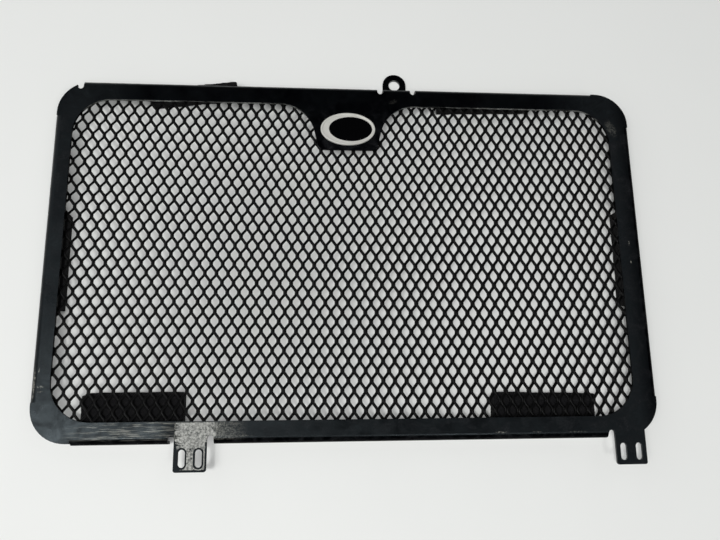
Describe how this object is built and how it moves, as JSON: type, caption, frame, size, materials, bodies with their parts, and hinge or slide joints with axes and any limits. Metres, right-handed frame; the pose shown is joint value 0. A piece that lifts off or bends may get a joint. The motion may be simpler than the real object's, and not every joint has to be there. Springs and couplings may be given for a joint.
{
  "type": "radiator guard",
  "caption": "Flat motorcycle radiator guard: a folded sheet frame around a window of expanded mesh, with slotted tabs, a bolt ear, a badge tongue and foam pads behind.",
  "frame": {"origin": "middle of the frame's outline in plan, on the plane that the foam pads stand on", "axes": "+Z out of the front face, +X along the width, +Y towards the side with the ear and the badge tongue"},
  "size_m": [0.32, 0.2208, 0.013],
  "materials": {
    "frame_coat": "black powder coat, semi-gloss, rubbed through to bare metal at the left tab",
    "mesh_coat": "black powder coat on expanded metal",
    "foam": "matt black closed-cell foam",
    "badge_plate": "polished silver plate, plain"
  },
  "bodies": {
    "root": {"frame": "frame_coat", "mesh_panel": "mesh_coat", "pad_lower_left": "foam", "pad_lower_right": "foam", "pad_left": "foam", "pad_right": "foam", "pad_upper_left": "foam", "pad_upper_right": "foam", "badge": "badge_plate"}
  },
  "joints": []
}
